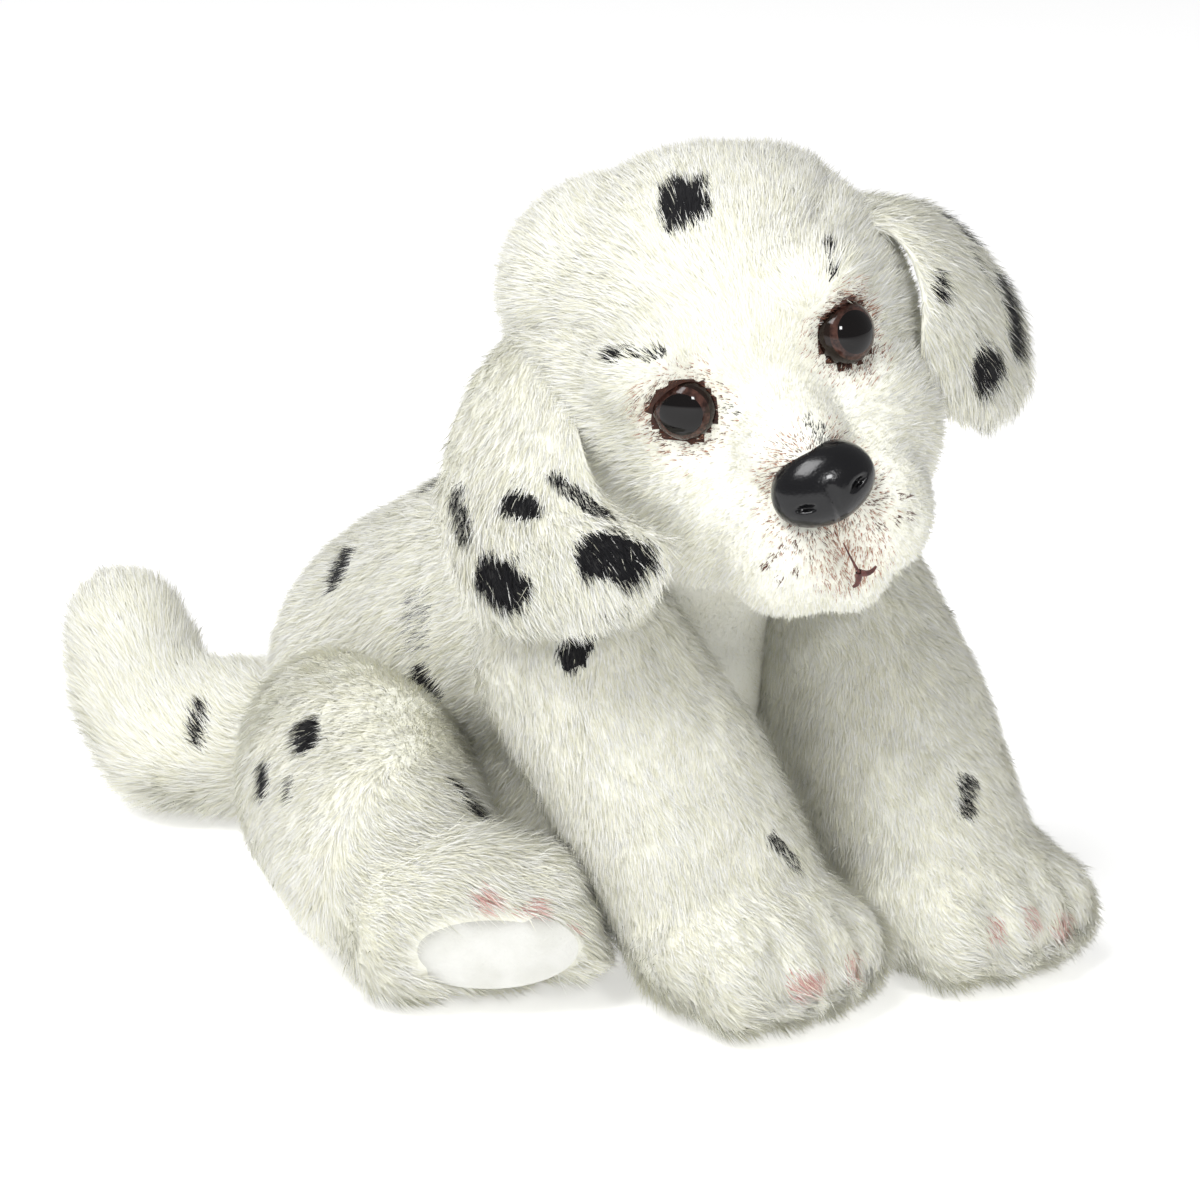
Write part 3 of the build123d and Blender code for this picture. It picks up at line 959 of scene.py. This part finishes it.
def build_tail():
    root = joint_at("tail_wag")
    bend, tip = np.array([-46, 66, 23]), np.array([-44, 88, 48])
    form = bmesh.new()
    middle = (root + bend) / 2 + (0, -1, 0)
    curl = (bend + tip) / 2 + (-1, 2, -2)
    limb(form, [root, middle, bend, curl, tip], [20, 20, 19.5, 18.5, 15.5])
    mesh = melt("tail_plush", form)
    flatten_below(mesh, FLOOR_CLEARANCE)
    skin = show("tail_plush", mesh, BACKING, BACKING_DARK)
    spots = snapped(skin, TAIL_SPOTS)
    darken_backing(skin, spots)
    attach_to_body(skin, "tail")
    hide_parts("tail_skin", "tail_stuffing")

    def flow(points):
        late = smoothstep(20, 60, points[:, 1])[:, None]
        return unit(bend - root) * (1 - late) + unit(tip - bend) * late

    def length(points, facing):
        return np.full(len(points), 7.5)

    def keep(points, facing, draw):
        return points[:, 2] > LOWEST_ROOT

    pile(skin, "tail", 3.6, length, flow, painted(spots), 91, lift=0.7, keep=keep)


# ---- Face parts

def lathe(name, profile, centre, out, materials, bands):
    """A turned solid: profile is (radius, height) pairs from the middle outwards, and
    bands gives each ring of faces its material."""
    out = unit(out)
    side = unit(np.cross(out, (0, 0, 1)))
    up = np.cross(side, out)
    spokes = 64
    form = bmesh.new()
    previous = [form.verts.new((centre + out * profile[0][1]) * MM)]
    for ring, (radius, height) in enumerate(profile[1:]):
        circle = []
        for spoke in range(spokes):
            angle = 2 * math.pi * spoke / spokes
            way = side * math.cos(angle) + up * math.sin(angle)
            circle.append(form.verts.new((centre + way * radius + out * height) * MM))
        for k in range(spokes):
            j = (k + 1) % spokes
            corners = [previous[0], circle[k], circle[j]]
            if ring:
                corners = [previous[k], circle[k], circle[j], previous[j]]
            form.faces.new(corners).material_index = bands[ring]
        previous = circle
    bmesh.ops.recalc_face_normals(form, faces=form.faces)
    mesh = bpy.data.meshes.new(name)
    form.to_mesh(mesh)
    form.free()
    mesh.shade_smooth()
    return show(name, mesh, *materials)


def build_eye(side, side_name):
    """A domed safety eye: black pupil, brown ring and dark rim under one polish."""
    radius, height, rings = EYE_RADIUS, EYE_DOME, 22
    shares = np.linspace(0, 1, rings)
    profile = [(radius * math.sin(s * math.pi / 2), height * math.cos(s * math.pi / 2))
               for s in shares]
    profile.append((radius, -3.0))
    bands = []
    for ring_radius, _ in profile[1:]:
        bands.append(0 if ring_radius < PUPIL_RADIUS else 1 if ring_radius < IRIS_RADIUS else 2)
    out = EYE_WAYS[side]
    centre = EYES[side] - out * 2.2
    eye = lathe(f"{side_name}_eye_dome", profile, centre, out,
                (EYE_BLACK, EYE_IRIS, EYE_RIM), bands)
    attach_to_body(eye, "head")
    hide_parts(f"{side_name}_eye")


def build_nose():
    """A moulded nose: broad on top, with two nostrils and a groove below."""
    form = bmesh.new()
    bmesh.ops.create_icosphere(form, subdivisions=5, radius=1)
    mesh = bpy.data.meshes.new("nose_button")
    form.to_mesh(mesh)
    form.free()
    ball = vertices_of(mesh) * MM
    x, y, z = ball[:, 0], ball[:, 1], ball[:, 2]
    wide = 12.6 * (1 + 0.10 * z)
    shaped = np.stack([x * wide, y * 8.0, z * 9.6], 1)
    front = smoothstep(0.0, -0.4, y)
    for side in (-1, 1):
        gap = np.hypot((x - side * 0.55) / 0.22, (z + 0.55 - 0.5 * np.abs(x)) / 0.12)
        shaped[:, 1] += 2.2 * front * (1 - smoothstep(0.2, 1.1, gap))
    groove = (1 - smoothstep(0.0, 0.13, np.abs(x))) * smoothstep(0.1, -0.5, z)
    shaped[:, 1] += 1.3 * front * groove
    shaped[:, 2] -= 1.2 * np.abs(x) ** 3
    tilt = np.array(Matrix.Rotation(math.radians(-14), 3, "X"))
    centre = np.array([1, -63.5, -21.5])
    set_vertices(mesh, HEAD_CENTRE + (centre + shaped @ tilt.T) @ HEAD_AXES.T)
    mesh.shade_smooth()
    nose = show("nose_button", mesh, NOSE_BLACK)
    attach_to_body(nose, "head")
    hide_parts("nose")


def build_mouth():
    """Short dark stitches that meet under the nose."""
    centre = np.array([0, -66.5, -44])
    ends = [(-0.5, 1.0, 8, 0.4), (4.4, 1.0, -0.8, 0.9), (-2.6, 1.0, -2.8, 0.9)]
    curve = bpy.data.curves.new("mouth_thread", "CURVE")
    curve.dimensions = "3D"
    curve.bevel_depth = 0.9 * MM
    curve.bevel_resolution = 3
    for end in ends:
        line = curve.splines.new("POLY")
        steps = 6
        line.points.add(steps)
        for step in range(steps + 1):
            share = step / steps
            sag = np.array([0, 0, -0.9 * math.sin(share * math.pi)])
            point = on_head(centre + np.array(end[:3]) * share + sag) * MM
            line.points[step].co = (*point, 1)
            line.points[step].radius = end[3] * (1.15 - 0.75 * share)
    curve.materials.append(THREAD)
    mouth = bpy.data.objects.new("mouth_thread", curve)
    bpy.context.scene.collection.objects.link(mouth)
    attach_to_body(mouth, "head")
    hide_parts("mouth_stitches")


# ---- Studio

def add_light(name, place, target, energy, size):
    """A square area light aimed at a place."""
    data = bpy.data.lights.new(name, "AREA")
    data.energy = energy
    data.shape = "RECTANGLE"
    data.size = size * MM
    data.size_y = size * MM
    light = bpy.data.objects.new(name, data)
    light.location = Vector(place) * MM
    aim = Vector(target) - Vector(place)
    light.rotation_euler = aim.to_track_quat("-Z", "Y").to_euler()
    bpy.context.scene.collection.objects.link(light)
    return light


def build_studio():
    reach = 6000
    form = bmesh.new()
    bmesh.ops.create_grid(form, x_segments=8, y_segments=8, size=1)
    bmesh.ops.scale(form, vec=(reach * MM, reach * MM, 1), verts=form.verts)
    mesh = bpy.data.meshes.new("studio_floor")
    form.to_mesh(mesh)
    form.free()
    floor = show("studio_floor", mesh, FLOOR)
    world = bpy.data.worlds.new("studio_world")
    world.use_nodes = True
    world.node_tree.nodes["Background"].inputs["Color"].default_value = (1, 1, 1, 1)
    nodes, links = world.node_tree.nodes, world.node_tree.links
    seen = nodes.new("ShaderNodeLightPath")
    strength = nodes.new("ShaderNodeMath")
    strength.operation = "MULTIPLY_ADD"
    strength.inputs[1].default_value = BACKDROP_EXTRA
    strength.inputs[2].default_value = SKY_STRENGTH
    links.new(seen.outputs["Is Camera Ray"], strength.inputs[0])
    links.new(strength.outputs["Value"], nodes["Background"].inputs["Strength"])
    bpy.context.scene.world = world
    add_light("key_light", KEY_PLACE, CAMERA_TARGET, KEY_WATTS, KEY_SIZE)
    add_light("window_light", WINDOW_PLACE, CAMERA_TARGET, WINDOW_WATTS, WINDOW_SIZE)
    bpy.context.scene.view_settings.view_transform = "Standard"


def build_camera():
    azimuth, elevation = math.radians(CAMERA_AZIMUTH), math.radians(CAMERA_ELEVATION)
    back = Vector((
        math.sin(azimuth) * math.cos(elevation),
        -math.cos(azimuth) * math.cos(elevation),
        math.sin(elevation),
    ))
    data = bpy.data.cameras.new("camera")
    data.angle = 2 * math.atan(FRAME_WIDTH / 2 / CAMERA_DISTANCE)
    data.clip_start = 0.05
    data.clip_end = 50
    camera = bpy.data.objects.new("camera", data)
    camera.location = (Vector(CAMERA_TARGET) + back * CAMERA_DISTANCE) * MM
    camera.rotation_euler = (-back).to_track_quat("-Z", "Y").to_euler()
    bpy.context.scene.collection.objects.link(camera)
    bpy.context.scene.camera = camera


# Two points along each ear; attach only looks up which bodies are ears here
EAR_BENDS = {"right_ear": ear_bend(RIGHT_EAR), "left_ear": ear_bend(LEFT_EAR)}

build_camera()
build_studio()
build_torso()
build_head()
build_ear("right", RIGHT_EAR, 31)
build_ear("left", LEFT_EAR, 41)
for side, side_name in ((-1, "right"), (1, "left")):
    build_front_leg(side_name, 50 + side)
    build_hind_leg(side, side_name, 70 + side)
    build_eye(side, side_name)
build_tail()
build_nose()
build_mouth()
